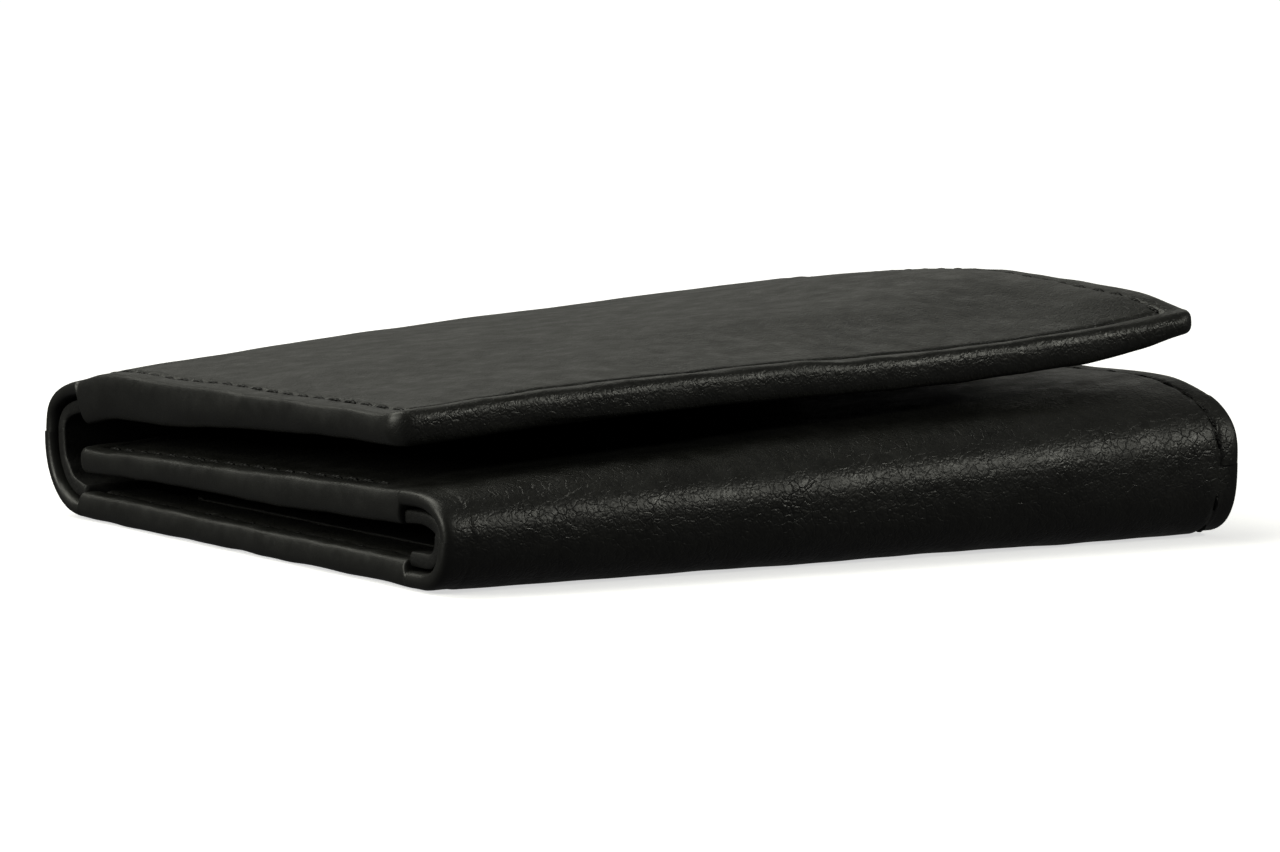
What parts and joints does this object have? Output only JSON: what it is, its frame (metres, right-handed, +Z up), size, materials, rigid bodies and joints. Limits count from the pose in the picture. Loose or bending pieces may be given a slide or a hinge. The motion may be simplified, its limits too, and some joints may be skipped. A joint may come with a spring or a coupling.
{
  "type": "card holder",
  "caption": "Tri-fold leather card holder, closed and empty: a flap folds over an inner panel and a centre panel, each with stepped card pockets.",
  "frame": {"origin": "centre of the closed holder's box on the surface it lies on", "axes": "+X along the folds, towards the end where the stack is thicker; -Y the rounded front fold, +Y the spine; +Z up, away from the centre panel's outer face"},
  "size_m": [0.1067, 0.089, 0.0255],
  "materials": {
    "outer_leather": "satin, fine pebbled grain",
    "lining_leather": "smooth",
    "pocket_leather": "smooth satin",
    "liner_fabric": "plain weave",
    "board": "matt",
    "tape": "woven",
    "thread": "waxed"
  },
  "bodies": {
    "centre": {"centre_shell": "outer_leather", "centre_board": "board", "centre_lining": "lining_leather", "centre_back_liner": "liner_fabric", "centre_back_pocket": "pocket_leather", "centre_front_liner": "liner_fabric", "centre_front_pocket": "pocket_leather", "centre_stitching": "thread"},
    "front_fold": {"fold_shell": "outer_leather", "fold_tape": "tape", "fold_lining": "lining_leather", "fold_stitching": "thread"},
    "inner_panel": {"inner_shell": "outer_leather", "inner_board": "board", "inner_lining": "lining_leather", "inner_back_liner": "liner_fabric", "inner_back_pocket": "pocket_leather", "inner_front_liner": "liner_fabric", "inner_front_pocket": "pocket_leather", "inner_stitching": "thread"},
    "spine": {"spine_shell": "outer_leather", "spine_tape": "tape", "spine_lining": "lining_leather", "spine_stitching": "thread"},
    "flap": {"flap_shell": "outer_leather", "flap_board": "board", "flap_lining": "lining_leather", "flap_back_liner": "liner_fabric", "flap_back_pocket": "pocket_leather", "flap_front_liner": "liner_fabric", "flap_front_pocket": "pocket_leather", "flap_stitching": "thread"}
  },
  "joints": [
    {"name": "spine_lower", "type": "hinge", "parent": "centre", "child": "spine", "pos_m": [0, 0.0432, 0.00432], "axis": [-0.9994, 0, -0.036], "range_deg": [0, 86]},
    {"name": "spine_upper", "type": "hinge", "parent": "spine", "child": "flap", "pos_m": [0.00028, 0.0432, 0.01644], "axis": [-0.9994, 0, -0.036], "range_deg": [0, 86]},
    {"name": "fold_lower", "type": "hinge", "parent": "centre", "child": "front_fold", "pos_m": [0, -0.0434, 0.0041], "axis": [0.9995, 0, 0.0318], "range_deg": [0, 15.6]},
    {"name": "fold_upper", "type": "hinge", "parent": "front_fold", "child": "inner_panel", "pos_m": [0.00024, -0.0434, 0.01011], "axis": [0.9995, 0, 0.0318], "range_deg": [0, 15.6]}
  ],
  "couplings": [
    {"joint": "spine_upper", "follows": "spine_lower", "ratio": 1},
    {"joint": "fold_lower", "follows": "spine_lower", "ratio": 0.18},
    {"joint": "fold_upper", "follows": "spine_lower", "ratio": 0.18}
  ]
}
